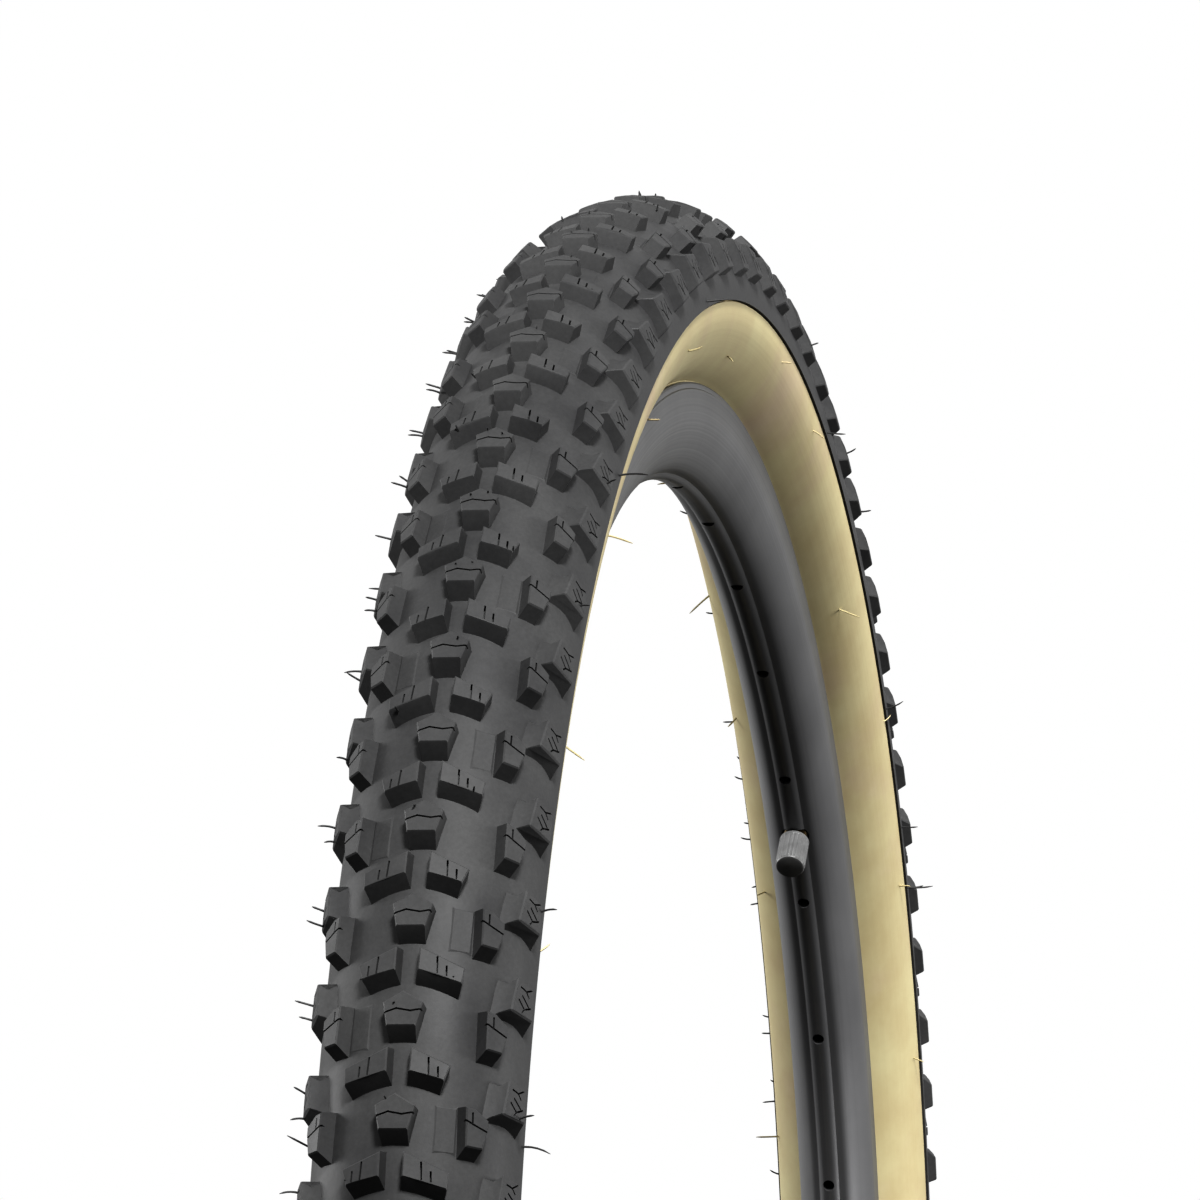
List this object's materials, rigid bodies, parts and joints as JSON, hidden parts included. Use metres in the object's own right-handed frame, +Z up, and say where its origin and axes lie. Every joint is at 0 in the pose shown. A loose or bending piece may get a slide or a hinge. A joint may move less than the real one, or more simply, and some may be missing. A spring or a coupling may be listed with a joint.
{
  "type": "bicycle tire",
  "caption": "Off-road bicycle tire with tan sidewalls and a knobbly black tread, inflated on a bare double-wall rim with its inner tube and valve.",
  "frame": {"origin": "centre of the wheel, on the axle line in the tire's middle plane", "axes": "+Y along the axle, +Z up with the wheel upright; the valve is 45 degrees above +X"},
  "size_m": [0.736, 0.0548, 0.736],
  "materials": {
    "tread_rubber": "matte black moulded rubber",
    "casing_fabric": "rubberised nylon plies",
    "tan_rubber": "matte tan rubber",
    "bead_wire": "bronze-coated wire",
    "rim_aluminium": "dark anodised, satin",
    "rim_tape_plastic": "woven tape",
    "sleeve_aluminium": "bare extrusion",
    "butyl_rubber": "matte black",
    "brass": "plain",
    "seal_rubber": "matte",
    "spring_steel": "bright wire",
    "cap_plastic": "light grey, ribbed"
  },
  "bodies": {
    "wheel": {"tread": "tread_rubber", "casing": "casing_fabric", "sidewall_left": "tan_rubber", "sidewall_right": "tan_rubber", "bead_left": "bead_wire", "bead_right": "bead_wire", "rim": "rim_aluminium", "rim_tape": "rim_tape_plastic", "rim_joint_sleeve": "sleeve_aluminium", "inner_tube": "butyl_rubber", "valve_patch": "butyl_rubber", "valve_stem": "brass", "core_plug": "brass", "core_barrel": "brass", "core_gasket": "seal_rubber", "core_spring": "spring_steel"},
    "cap_liner": {"cap_seal": "seal_rubber"},
    "cap": {"valve_cap": "cap_plastic"},
    "pin": {"core_pin": "brass", "core_seal": "seal_rubber"}
  },
  "joints": [
    {"name": "cap_travel", "type": "slide", "parent": "wheel", "child": "cap_liner", "axis": [-0.7071, 0, -0.7071], "range_m": [0, 0.00714]},
    {"name": "cap_turn", "type": "hinge", "parent": "cap_liner", "child": "cap", "pos_m": [0.19544, 0, 0.19544], "axis": [-0.7071, 0, -0.7071], "range_deg": [0, 3240]},
    {"name": "pin_press", "type": "slide", "parent": "wheel", "child": "pin", "axis": [0.7071, 0, 0.7071], "range_m": [0, 0.0012], "stiffness_N_per_m": 150, "springref_m": -0.002, "deforming": ["core_spring"]}
  ],
  "couplings": [
    {"joint": "cap_turn", "follows": "cap_travel", "rad_per_m": 7913.3}
  ]
}
